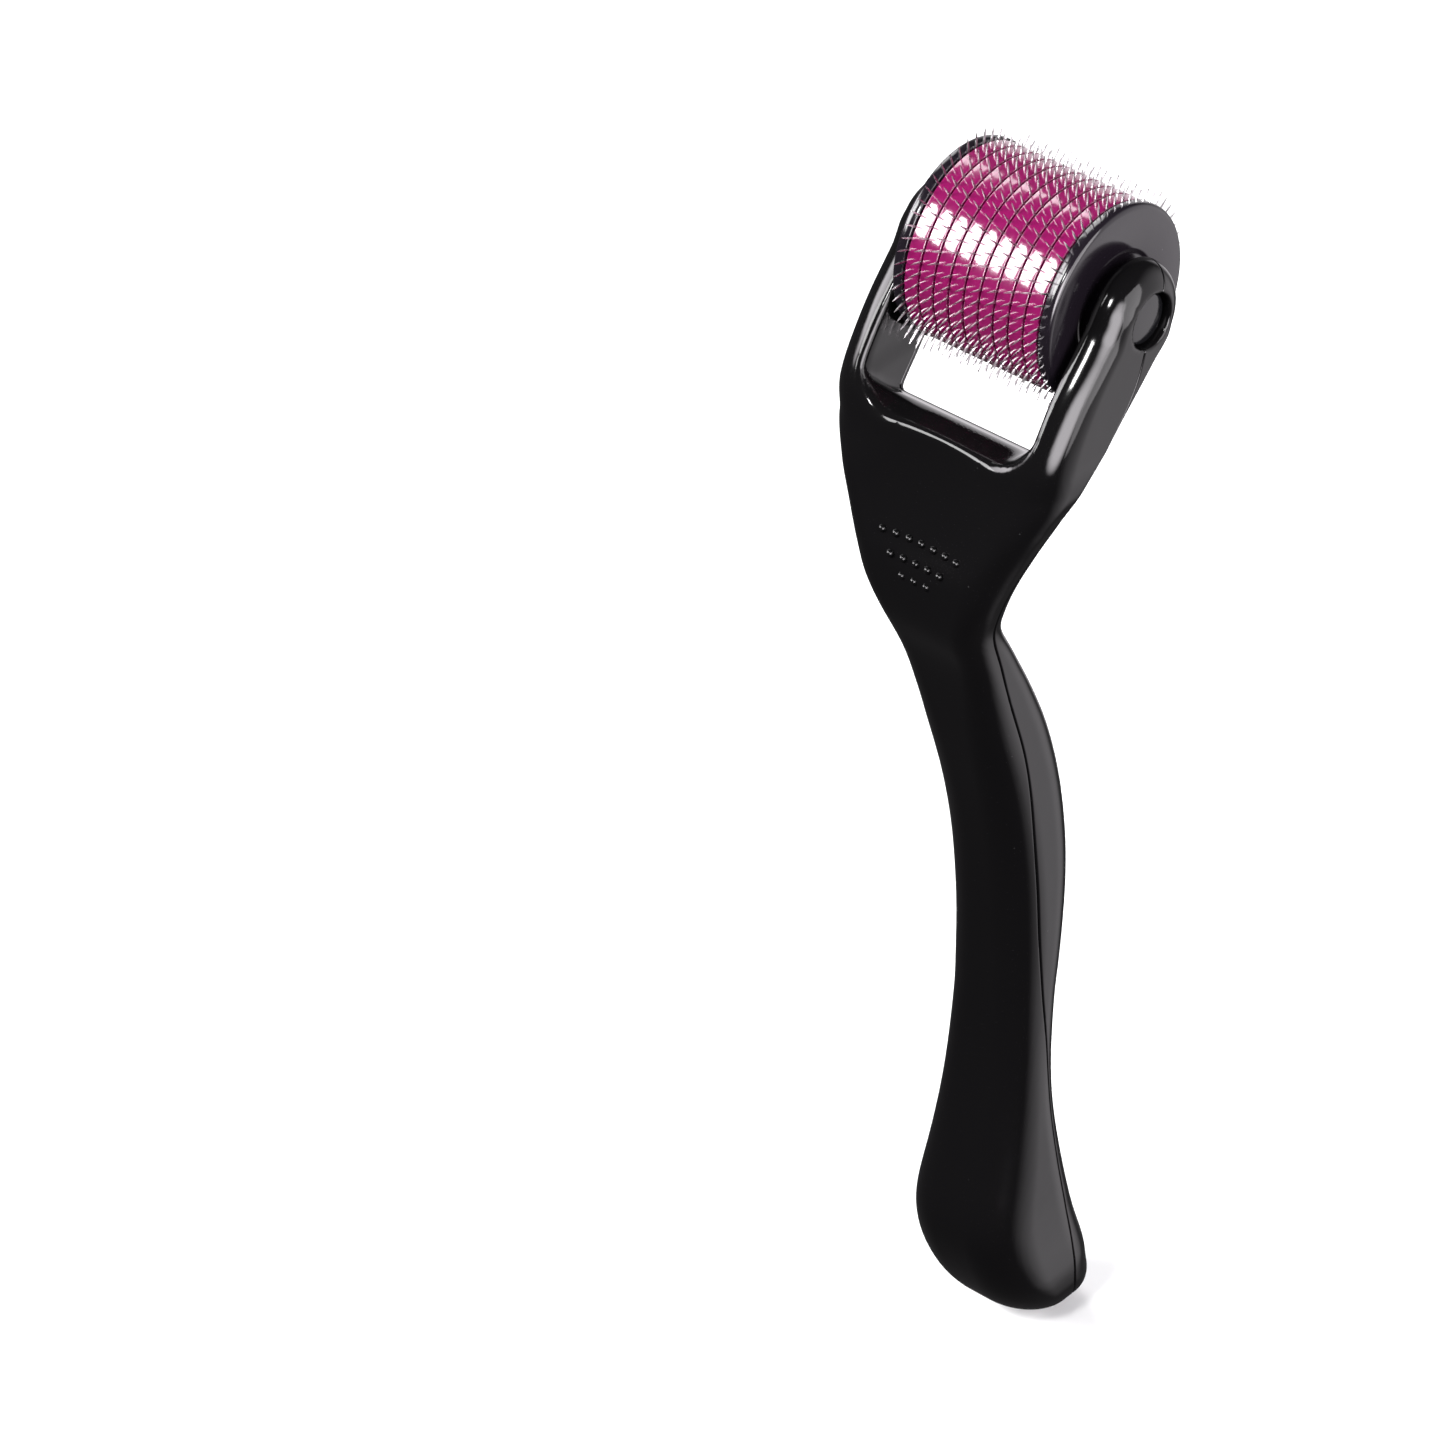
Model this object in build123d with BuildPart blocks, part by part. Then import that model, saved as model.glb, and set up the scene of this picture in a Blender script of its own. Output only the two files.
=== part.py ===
"""A needle skin roller: a bowed two-shell handle whose fork carries a spinning drum of needle discs."""
import os
from math import cos, pi, radians, sin, sqrt

from build123d import *

# All sizes in millimetres. +Z runs up the handle to the fork, +X along the drum axle, -Y is the thumb side.

# Drum
disc_count = 10
needles_per_disc = 54
disc_pitch = 1.98
disc_thickness = 0.20
drum_radius = 11.0
needle_length = 1.8
needle_base = 0.42
needle_sink = 0.15
hub_radius = 6.0
end_cap_width = 1.45
end_cap_radius = 11.15
end_cap_edge = 0.7
end_cap_recess_radius = 6.0
end_cap_recess_depth = 0.3
thrust_boss_radius = 2.8

# Axle and its bearings
axle_radius = 1.25
running_clearance = 0.05
thrust_gap = 0.12
plug_radius = 3.0
plug_depth = 2.0
plug_recess = 0.8
plug_edge = 0.35
plug_clearance = 0.04

# Fork
fork_gap = 0.45
arm_thickness = 4.4
arm_corner = 2.0
arm_front_corner = 4.0
tip_radius = 6.0
tip_edge = 3.2
lean = 35.0
bridge_gap = 3.2
scoop_radius = 17.6
window_corner = 4.5

# Handle
handle_length = 126.4
wall = 1.6
post_radius = 2.2
pin_radius = 1.1
pin_reach = 2.4
shoulder_pin_back = 2.1
shoulder_pin_reach = 1.1
pin_clearance = 0.05
shoulder_pin_radius = 0.8

# Thumb rest
dish_radius = 34.0
dish_depth = 0.9
dish_drop = 7.8
dish_front = 8.6
dish_tilt = 0.28
bump_radius = 0.45
bump_pitch = 1.65
bump_drop = 12.0
bump_row_pitch = 2.05
bump_rows = (7, 5, 3)

# What follows from those sizes
stack_half = disc_pitch * (disc_count - 1) / 2 + disc_thickness / 2
drum_half = stack_half + end_cap_width
fork_half = drum_half + fork_gap
head_half = fork_half + arm_thickness
needle_tip_radius = drum_radius + needle_length
bridge_distance = needle_tip_radius + bridge_gap
bridge_y = -bridge_distance * sin(radians(lean))
bridge_z = -bridge_distance * cos(radians(lean))
bore_radius = axle_radius + running_clearance

# Arm outline: share of the way from the axle down to the bridge, front and back of the lean line.
arm_stations = ((-0.08, -7.4, 4.6), (0.3, -8.3, 5.6), (0.6, -8.3, 4.6), (0.92, -7.5, 3.3))

# Handle outline below the bridge: share of the handle length, front and back measured from the
# bridge, half width (those of the shoulders measured in from the fork), corner radius and, at the
# shoulders, the larger radius of the front corners.
shoulder_stations = (
    (0.023, -7.5, 1.0, 0.5, 2.4, 4.2),
    (0.055, -8.9, -0.7, 2.1, 2.8, 4.2),
    (0.086, -9.9, -1.6, 3.9, 3.0, 4.0),
    (0.118, -10.4, -2.6, 5.6, 3.0, 3.6),
)
grip_stations = (
    (0.150, -10.2, -2.9, 8.2, 3.0),
    (0.181, -9.2, -2.3, 7.0, 3.0),
    (0.213, -7.3, -0.1, 6.4, 2.8),
    (0.252, -5.5, 2.9, 6.0, 3.1),
    (0.308, -3.6, 6.8, 5.8, 3.8),
    (0.371, -1.3, 9.9, 5.8, 4.3),
    (0.450, 0.9, 12.0, 5.8, 4.5),
    (0.529, 2.0, 12.4, 5.8, 4.5),
    (0.608, 2.4, 11.2, 5.8, 4.1),
    (0.688, 2.1, 9.9, 6.1, 3.8),
    (0.751, 0.7, 10.4, 6.6, 4.5),
    (0.806, -1.1, 11.6, 7.2, 5.2),
    (0.854, -2.4, 12.9, 7.7, 5.6),
    (0.893, -1.5, 14.4, 7.9, 5.8),
    (0.925, 0.2, 16.0, 7.7, 5.8),
    (0.957, 2.8, 17.4, 7.0, 5.6),
    (0.981, 6.0, 18.2, 6.0, 4.9),
    (1.000, 9.6, 17.6, 4.3, 3.6),
)

# Where the two shells part on the arms: share of the way down to the bridge and distance behind the lean line.
arm_parting = ((-1.2, 0), (-0.6, 0), (0, 0), (0.5, 2.2), (1.0, 1.7))
# Where the two shells part, from the bridge down: share of the handle length and distance from the bridge.
parting_stations = (
    (0.055, -2.8), (0.118, -5.6), (0.150, -6.0), (0.181, -5.4), (0.213, -3.7), (0.267, -1.2),
    (0.329, 1.5), (0.386, 3.1), (0.430, 3.9), (0.496, 4.9), (0.562, 5.5), (0.618, 6.1),
    (0.676, 6.8), (0.751, 7.5), (0.854, 9.0), (0.957, 11.8), (1.000, 13.8), (1.050, 16.5),
)
post_stations = (7, 10, 13)
cavity_from, cavity_to = 0.15, 0.93


def drop(share):
    return bridge_z - share * handle_length


sections = [(t * bridge_z, t * bridge_y + front, t * bridge_y + back, head_half, arm_corner, arm_front_corner)
            for t, front, back in arm_stations]
sections += [(drop(s), bridge_y + front, bridge_y + back, head_half - inset, corner, front_corner)
             for s, front, back, inset, corner, front_corner in shoulder_stations]
sections += [(drop(s), bridge_y + front, bridge_y + back, half, corner, corner)
             for s, front, back, half, corner in grip_stations]
parting = [(t * bridge_y + back, t * bridge_z) for t, back in arm_parting]
parting += [(bridge_y + y, drop(s)) for s, y in parting_stations]
posts = [(bridge_y + parting_stations[i][1], drop(parting_stations[i][0])) for i in post_stations]
shoulder_pins = [(side * (head_half - arm_thickness / 2), 0.75 * bridge_y + shoulder_pin_back, 0.75 * bridge_z)
                 for side in (-1, 1)]

# Hollow of the handle, with the pin posts left standing in it
with BuildPart() as cavity:
    for s, front, back, half, corner in grip_stations:
        if cavity_from <= s <= cavity_to:
            with BuildSketch(Plane.XY.offset(drop(s))):
                with Locations((0, bridge_y + (front + back) / 2)):
                    RectangleRounded(2 * (half - wall), back - front - 2 * wall, corner - wall)
    loft()
    for y, z in posts:
        with Locations(Location((0, y, z), (90, 0, 0))):
            Cylinder(post_radius, 40, mode=Mode.SUBTRACT)

# Hollow of the thumb rest, a shallow part of a ball
dish_slant = sqrt(1 + dish_tilt ** 2)
dish_centre = (0, bridge_y - dish_front - (dish_radius - dish_depth) / dish_slant,
               bridge_z - dish_drop + dish_tilt * (dish_radius - dish_depth) / dish_slant)
with BuildPart() as dish:
    with Locations(dish_centre):
        Sphere(dish_radius)


def thumb_face(x, z):
    """Depth of the thumb rest's surface: the front of the outline, or the dish where it is deeper."""
    for (z0, front0, *_), (z1, front1, *_) in zip(sections, sections[1:]):
        if z1 <= z <= z0:
            front = front0 + (front1 - front0) * (z - z0) / (z1 - z0)
    reach = dish_radius ** 2 - x ** 2 - (z - dish_centre[2]) ** 2
    return max(front, dish_centre[1] + sqrt(reach))


# Round ends of the arms, as one roller whose middle the window takes away
with BuildPart() as arm_tips:
    with BuildSketch(Plane.YZ.offset(-head_half)):
        Circle(tip_radius)
    extrude(amount=2 * head_half)
    fillet(arm_tips.edges(), tip_edge)

# Whole handle before it is parted
with BuildPart() as outline:
    for z, front, back, half, corner, front_corner in sections:
        with BuildSketch(Plane.XY.offset(z)):
            with Locations((0, (front + back) / 2)):
                Rectangle(2 * half, back - front)
            fillet(vertices().group_by(Axis.Y)[0], front_corner)
            fillet(vertices().group_by(Axis.Y)[-1], corner)
    loft()
    add(arm_tips.part)
    with BuildSketch(Plane.XZ):
        with Locations((0, bridge_z)):
            Rectangle(2 * fork_half, bridge_distance + 2 * tip_radius, align=(Align.CENTER, Align.MIN))
        fillet(vertices().sort_by(Axis.Z)[:2], window_corner)
    extrude(amount=60, both=True, mode=Mode.SUBTRACT)
    with BuildSketch(Plane.YZ.offset(-fork_half)):
        Circle(scoop_radius)
    extrude(amount=2 * fork_half, mode=Mode.SUBTRACT)
    add(dish.part, mode=Mode.SUBTRACT)
    add(cavity.part, mode=Mode.SUBTRACT)
    with BuildSketch(Plane.YZ.offset(-head_half)):
        Circle(axle_radius)
    extrude(amount=2 * head_half, mode=Mode.SUBTRACT)
    for side in (-1, 1):
        with BuildSketch(Plane.YZ.offset(side * (head_half - plug_depth))):
            Circle(plug_radius + plug_clearance)
        extrude(amount=side * 2 * plug_depth, mode=Mode.SUBTRACT)

# Everything in front of the parting line
with BuildPart() as front_side:
    with BuildSketch(Plane.YZ.offset(-2 * head_half)):
        with BuildLine():
            Spline(*parting)
            Polyline(parting[-1], (-80, parting[-1][1]), (-80, parting[0][1]), parting[0])
        make_face()
    extrude(amount=4 * head_half)

with BuildPart() as front_shell:
    add(outline.part)
    add(front_side.part, mode=Mode.INTERSECT)
    for y, z in posts:
        with Locations(Location((0, y, z), (90, 0, 0))):
            Cylinder(pin_radius, 2 * pin_reach)
    for pin in shoulder_pins:
        with Locations(Location(pin, (90, 0, 0))):
            Cylinder(shoulder_pin_radius, 2 * shoulder_pin_reach)
    for row, count in enumerate(bump_rows):
        for i in range(count):
            x = (i - (count - 1) / 2) * bump_pitch
            z = bridge_z - bump_drop - row * bump_row_pitch
            with Locations((x, thumb_face(x, z), z)):
                Sphere(bump_radius)

with BuildPart() as back_shell:
    add(outline.part)
    add(front_side.part, mode=Mode.SUBTRACT)
    for y, z in posts:
        with Locations(Location((0, y, z), (90, 0, 0))):
            Cylinder(pin_radius + pin_clearance, 2 * pin_reach + 4 * pin_clearance, mode=Mode.SUBTRACT)
    for pin in shoulder_pins:
        with Locations(Location(pin, (90, 0, 0))):
            Cylinder(shoulder_pin_radius + pin_clearance, 2 * shoulder_pin_reach + 4 * pin_clearance,
                     mode=Mode.SUBTRACT)

with BuildPart() as axle:
    with BuildSketch(Plane.YZ.offset(-(head_half - plug_depth))):
        Circle(axle_radius)
    extrude(amount=2 * (head_half - plug_depth))

with BuildPart() as axle_plug:
    with BuildSketch(Plane.YZ.offset(head_half - plug_depth)):
        Circle(plug_radius)
    extrude(amount=plug_depth - plug_recess)
    fillet(axle_plug.edges().group_by(Axis.X)[-1], plug_edge)

with BuildPart() as drum_hub:
    with BuildSketch(Plane.YZ.offset(-stack_half)):
        Circle(hub_radius)
        Circle(bore_radius, mode=Mode.SUBTRACT)
    extrude(amount=2 * stack_half)

with BuildPart() as end_cap:
    with BuildSketch(Plane.YZ.offset(stack_half)):
        Circle(end_cap_radius)
    extrude(amount=end_cap_width)
    fillet(end_cap.edges().group_by(Axis.X)[-1], end_cap_edge)
    with BuildSketch(Plane.YZ.offset(drum_half)):
        Circle(end_cap_recess_radius)
    extrude(amount=-end_cap_recess_depth, mode=Mode.SUBTRACT)
    with BuildSketch(Plane.YZ.offset(stack_half)):
        Circle(thrust_boss_radius)
    extrude(amount=fork_half - thrust_gap - stack_half)
    with BuildSketch(Plane.YZ.offset(stack_half)):
        Circle(bore_radius)
    extrude(amount=fork_half - stack_half, mode=Mode.SUBTRACT)

with BuildPart() as spacer_ring:
    with BuildSketch(Plane.YZ.offset(-(disc_pitch - disc_thickness) / 2)):
        Circle(drum_radius)
        Circle(hub_radius, mode=Mode.SUBTRACT)
    extrude(amount=disc_pitch - disc_thickness)


def needle_outline(first):
    """Outline of one toothed disc, its first needle turned by the given share of the needle step."""
    step = 2 * pi / needles_per_disc
    root = drum_radius - needle_sink
    half_base = needle_base / 2 / root
    points = []
    for i in range(needles_per_disc):
        a = (i + first) * step
        for r, b in ((root, a - half_base), (needle_tip_radius, a), (root, a + half_base)):
            points.append((r * cos(b), r * sin(b)))
    return points


needle_discs = []
for stagger in (0, 0.5):
    with BuildPart() as disc:
        with BuildSketch(Plane.YZ.offset(-disc_thickness / 2)):
            with BuildLine():
                Polyline(*needle_outline(stagger), close=True)
            make_face()
            Circle(hub_radius, mode=Mode.SUBTRACT)
        extrude(amount=disc_thickness)
    needle_discs.append(disc.part)

# Pieces by name, then moved so that the middle of the grip is the origin
grip_y, grip_z = posts[1]
pieces = {
    "front_shell": front_shell.part,
    "back_shell": back_shell.part,
    "axle": axle.part,
    "axle_plug_right": axle_plug.part,
    "axle_plug_left": mirror(axle_plug.part, about=Plane.YZ),
    "drum_hub": drum_hub.part,
    "end_cap_right": end_cap.part,
    "end_cap_left": mirror(end_cap.part, about=Plane.YZ),
}
for i in range(disc_count):
    pieces[f"needle_disc_{i + 1:02d}"] = needle_discs[i % 2].moved(
        Location(((i - (disc_count - 1) / 2) * disc_pitch, 0, 0)))
for i in range(disc_count - 1):
    pieces[f"spacer_ring_{i + 1}"] = spacer_ring.part.moved(
        Location(((i - (disc_count - 2) / 2) * disc_pitch, 0, 0)))

os.makedirs("parts", exist_ok=True)
for label, solid in pieces.items():
    placed = solid.moved(Location((0, -grip_y, -grip_z)))
    placed.label = label
    export_step(placed, f"parts/{label}.step")
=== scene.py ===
"""Needle skin roller: a glossy two-shell handle and a drum of steel needle discs between tinted rings."""
from math import cos, pi, radians, sin

import bpy
import numpy as np
from mathutils import Matrix, Vector


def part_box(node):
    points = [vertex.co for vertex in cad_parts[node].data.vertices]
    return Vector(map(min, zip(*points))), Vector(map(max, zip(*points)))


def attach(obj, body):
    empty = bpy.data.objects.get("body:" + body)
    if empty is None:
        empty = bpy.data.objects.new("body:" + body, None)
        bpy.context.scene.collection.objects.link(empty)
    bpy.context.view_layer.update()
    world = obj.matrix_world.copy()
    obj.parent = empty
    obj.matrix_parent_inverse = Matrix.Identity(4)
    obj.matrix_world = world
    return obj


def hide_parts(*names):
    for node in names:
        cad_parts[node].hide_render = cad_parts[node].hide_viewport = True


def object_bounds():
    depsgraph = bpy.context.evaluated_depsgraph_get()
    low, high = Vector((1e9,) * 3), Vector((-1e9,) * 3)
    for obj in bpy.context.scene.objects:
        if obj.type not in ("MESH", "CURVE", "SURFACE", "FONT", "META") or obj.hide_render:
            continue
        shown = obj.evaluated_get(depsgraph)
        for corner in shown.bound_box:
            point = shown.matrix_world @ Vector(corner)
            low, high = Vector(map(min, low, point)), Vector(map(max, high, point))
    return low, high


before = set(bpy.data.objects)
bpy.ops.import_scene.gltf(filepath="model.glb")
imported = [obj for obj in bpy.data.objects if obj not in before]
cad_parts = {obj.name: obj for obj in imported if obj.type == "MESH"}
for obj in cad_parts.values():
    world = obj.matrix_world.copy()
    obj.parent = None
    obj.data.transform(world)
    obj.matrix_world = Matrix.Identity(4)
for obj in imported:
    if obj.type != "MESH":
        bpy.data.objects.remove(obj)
cad_box = [list(map(float, corner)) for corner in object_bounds()]

# ------------------------------------------------ sizes in millimetres, about the axle's middle

MM = 0.001
# Keeps two faces from lying in one plane
HAIR = 0.01

# Drum
DISC_COUNT = 10
NEEDLES_PER_DISC = 54
DISC_PITCH = 1.98
DISC_THICKNESS = 0.20
DISC_RIM_SINK = 0.7
DRUM_RADIUS = 11.0
NEEDLE_LENGTH = 1.8
HUB_RADIUS = 6.0
RING_EDGE = 0.15
RING_BORE_GAP = 0.3
DISC_BORE_GAP = 0.05
END_CAP_WIDTH = 1.45
END_CAP_RADIUS = 11.15
END_CAP_RIM = 0.62
END_CAP_INNER_EDGE = 0.12
END_CAP_BORE = 1.45
END_CAP_RECESS = 0.3
THRUST_GAP = 0.13

# One needle from root to point: beyond the rings, half width, and share of the disc's thickness
NEEDLE_SECTIONS = ((-0.8, 0.12, 1.0), (0.4, 0.10, 0.85), (1.2, 0.07, 0.7), (NEEDLE_LENGTH - HAIR, 0.012, 0.2))

# Fork
FORK_GAP = 0.45
ARM_THICKNESS = 4.4
ARM_CORNER = 2.0
ARM_FRONT_CORNER = 4.0
TIP_RADIUS = 6.0
TIP_EDGE = 3.2
LEAN = 35.0
BRIDGE_GAP = 3.2
WINDOW_CORNER = 4.5
WINDOW_HALF_HEIGHT = 20
SCOOP_RADIUS = 17.6
SCOOP_EDGE = 0.6
PLUG_RADIUS = 3.0
PLUG_DEPTH = 2.0
PLUG_RECESS = 0.8
PLUG_GAP = 0.05
PLUG_EDGE = 0.32
SEAT_GAP = 0.12

# Handle and thumb rest
HANDLE_LENGTH = 126.4
CORNER_SHARE = 0.96
SKIN_INSET = 0.02
HALF_SEAM = 0.035
DISH_RADIUS = 34.0
DISH_DEPTH = 0.9
DISH_DROP = 7.8
DISH_FRONT = 8.6
DISH_TILT = 0.28
BUMP_RADIUS = 0.45
BUMP_PITCH = 1.65
BUMP_DROP = 12.0
BUMP_ROW_PITCH = 2.05
BUMP_ROWS = (7, 5, 3)

# Over how much two faces of the handle run into each other
TOP_BLEND = 1.6
TAIL_BLEND = 2.2
TIP_BLEND = 0.9
WINDOW_BLEND = 1.5
SCOOP_BLEND = 1.0
DISH_BLEND = 0.5
SEAT_BLEND = 0.25
SEAM_BLEND = 0.22

# What follows from those sizes
STACK_HALF = DISC_PITCH * (DISC_COUNT - 1) / 2 + DISC_THICKNESS / 2
DRUM_HALF = STACK_HALF + END_CAP_WIDTH
FORK_HALF = DRUM_HALF + FORK_GAP
HEAD_HALF = FORK_HALF + ARM_THICKNESS
BRIDGE = DRUM_RADIUS + NEEDLE_LENGTH + BRIDGE_GAP
BRIDGE_Y = -BRIDGE * sin(radians(LEAN))
BRIDGE_Z = -BRIDGE * cos(radians(LEAN))

low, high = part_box("axle")
AXLE_AT = (Vector(low) + Vector(high)) / 2

# Arms: share of the way from the axle down to the bridge, front and back of the lean line.
ARM_OUTLINE = ((-0.45, -7.3, 6.6), (0.0, -7.4, 6.3), (0.3, -8.2, 5.9), (0.6, -8.3, 4.7), (0.92, -7.5, 3.3))
# Below the bridge: share of the handle's length, front and back measured from the bridge, half width (the
# shoulders' is measured in from the fork), corner and, on the shoulders, the larger corner of the front.
SHOULDER_OUTLINE = ((0.023, -7.5, 1.0, 0.5, 2.4, 4.2), (0.055, -8.9, -0.7, 2.1, 2.8, 4.2),
                    (0.086, -9.9, -1.6, 3.9, 3.0, 4.0), (0.118, -10.4, -2.6, 5.6, 3.0, 3.6))
GRIP_OUTLINE = ((0.150, -10.2, -2.9, 8.2, 3.0), (0.181, -9.2, -2.3, 7.0, 3.0), (0.213, -7.3, -0.1, 6.4, 2.8),
                (0.252, -5.5, 2.9, 6.0, 3.1), (0.308, -3.6, 6.8, 5.8, 3.8), (0.371, -1.3, 9.9, 5.8, 4.3),
                (0.450, 0.9, 12.0, 5.8, 4.5), (0.529, 2.0, 12.4, 5.8, 4.5), (0.608, 2.4, 11.2, 5.8, 4.1),
                (0.688, 2.1, 9.9, 6.1, 3.8), (0.751, 0.7, 10.4, 6.6, 4.5), (0.806, -1.1, 11.6, 7.2, 5.2),
                (0.854, -2.4, 12.9, 7.7, 5.6), (0.893, -1.5, 14.4, 7.9, 5.8), (0.925, 0.2, 16.0, 7.7, 5.8),
                (0.957, 2.8, 17.4, 7.0, 5.6), (0.981, 6.0, 18.2, 6.0, 4.9), (1.000, 9.6, 17.6, 4.3, 3.6))
# Where the two shells part, told in the same two ways.
ARM_PARTING = ((-1.2, 0), (-0.6, 0), (0, 0), (0.5, 2.2), (1.0, 1.7))
GRIP_PARTING = ((0.055, -2.8), (0.118, -5.6), (0.150, -6.0), (0.181, -5.4), (0.213, -3.7), (0.267, -1.2),
                (0.329, 1.5), (0.386, 3.1), (0.430, 3.9), (0.496, 4.9), (0.562, 5.5), (0.618, 6.1),
                (0.676, 6.8), (0.751, 7.5), (0.854, 9.0), (0.957, 11.8), (1.000, 13.8), (1.050, 16.5))


# ------------------------------------------------ plain helpers

def curve_through(heights, values):
    """Natural cubic curve through points given from the top down, as a function of height."""
    x = -np.array(heights, float)
    y = np.array(values, float)
    n, h = len(x), np.diff(x)
    rows, right = np.eye(n), np.zeros(n)
    for i in range(1, n - 1):
        rows[i, i - 1:i + 2] = h[i - 1], 2 * (h[i - 1] + h[i]), h[i]
        right[i] = 6 * ((y[i + 1] - y[i]) / h[i] - (y[i] - y[i - 1]) / h[i - 1])
    bend = np.linalg.solve(rows, right)

    def at(z):
        t = np.clip(-np.asarray(z, float), x[0], x[-1])
        i = np.clip(np.searchsorted(x, t) - 1, 0, n - 2)
        a, b, w = x[i + 1] - t, t - x[i], h[i]
        return (bend[i] * a ** 3 + bend[i + 1] * b ** 3) / (6 * w) \
            + (y[i] / w - bend[i] * w / 6) * a + (y[i + 1] / w - bend[i + 1] * w / 6) * b
    return at


def steady_curve(heights, values):
    """Smooth curve through points given from the top down that never swings past them."""
    x, y = -np.array(heights, float), np.array(values, float)
    h = np.diff(x)
    rise = np.diff(y) / h
    product, total = rise[1:] * rise[:-1], rise[1:] + rise[:-1]
    between = np.where(product > 0, 2 * product / np.where(total == 0, 1, total), 0)
    slope = np.concatenate([rise[:1], between, rise[-1:]])

    def at(z):
        t = np.clip(-np.asarray(z, float), x[0], x[-1])
        i = np.clip(np.searchsorted(x, t) - 1, 0, len(x) - 2)
        u = (t - x[i]) / h[i]
        return (y[i] * (1 + 2 * u) * (1 - u) ** 2 + y[i + 1] * u * u * (3 - 2 * u)
                + h[i] * (slope[i] * u * (1 - u) ** 2 - slope[i + 1] * u * u * (1 - u)))
    return at


def soft_join(a, b, blend):
    """The smaller of two distances, rounded where they come within the blend of each other."""
    h = np.maximum(blend - np.abs(a - b), 0) / blend
    return np.minimum(a, b) - h * h * blend / 4


def soft_cut(a, b, blend):
    """The larger of two distances, rounded in the same way."""
    return -soft_join(-a, -b, blend)


def rounded_box(u, v, half_u, half_v, corner):
    """Distance to a rounded rectangle about the middle of u and v."""
    qu, qv = np.abs(u) - (half_u - corner), np.abs(v) - (half_v - corner)
    return np.hypot(np.maximum(qu, 0), np.maximum(qv, 0)) + np.minimum(np.maximum(qu, qv), 0) - corner


def turned_disc(profile, steps):
    """Points and faces of a profile of (x, radius) that starts and ends on the axle's line."""
    inner, points, faces = profile[1:-1], [(profile[0][0], 0, 0)], []
    n = len(inner)
    for i in range(steps):
        a = 2 * pi * i / steps
        points += [(x, r * cos(a), r * sin(a)) for x, r in inner]
    points.append((profile[-1][0], 0, 0))
    for i in range(steps):
        j = (i + 1) % steps
        here, there = 1 + i * n, 1 + j * n
        faces += [(0, here, there), (here + n - 1, len(points) - 1, there + n - 1)]
        faces += [(here + k, here + k + 1, there + k + 1, there + k) for k in range(n - 1)]
    return points, faces


def make_object(name, points, faces, body, material, smooth=True):
    """A mesh from points in millimetres about the axle, riding on a body."""
    mesh = bpy.data.meshes.new(name)
    mesh.from_pydata([tuple(p) for p in (np.asarray(points) * MM + np.array(AXLE_AT)).tolist()], [],
                     [tuple(f) for f in faces])
    mesh.validate()
    mesh.update()
    if smooth:
        mesh.polygons.foreach_set("use_smooth", [True] * len(mesh.polygons))
    obj = bpy.data.objects.new(name, mesh)
    bpy.context.scene.collection.objects.link(obj)
    mesh.materials.append(material)
    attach(obj, body)
    return obj


def turned(profile, steps):
    """Points and faces of a closed profile of (x, radius) turned about the axle."""
    n = len(profile)
    points, faces = [], []
    for i in range(steps):
        a = 2 * pi * i / steps
        points += [(x, r * cos(a), r * sin(a)) for x, r in profile]
    for i in range(steps):
        j = (i + 1) % steps
        for k in range(n):
            m = (k + 1) % n
            faces.append((i * n + k, i * n + m, j * n + m, j * n + k))
    return points, faces


def rounded_corner(middle_x, middle_r, radius, start, count=5):
    """Arc points of one rounded corner in a turned profile; angles in degrees from the axle's direction."""
    angles = [radians(start + 90 * i / count) for i in range(count + 1)]
    return [(middle_x + radius * cos(a), middle_r + radius * sin(a)) for a in angles]


def turned_over(faces):
    """The same faces seen from their other side."""
    return [tuple(reversed(f)) for f in faces]


# ------------------------------------------------ shader groups

def new_group(name, inputs, outputs):
    """An empty shader group with its named sockets, its two end nodes and its node and link lists."""
    group = bpy.data.node_groups.new(name, "ShaderNodeTree")
    for label, kind, value in inputs:
        socket = group.interface.new_socket(name=label, in_out="INPUT", socket_type=kind)
        socket.default_value = value
    for label, kind in outputs:
        group.interface.new_socket(name=label, in_out="OUTPUT", socket_type=kind)
    nodes = group.nodes
    return group, nodes, group.links, nodes.new("NodeGroupInput"), nodes.new("NodeGroupOutput")


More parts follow.
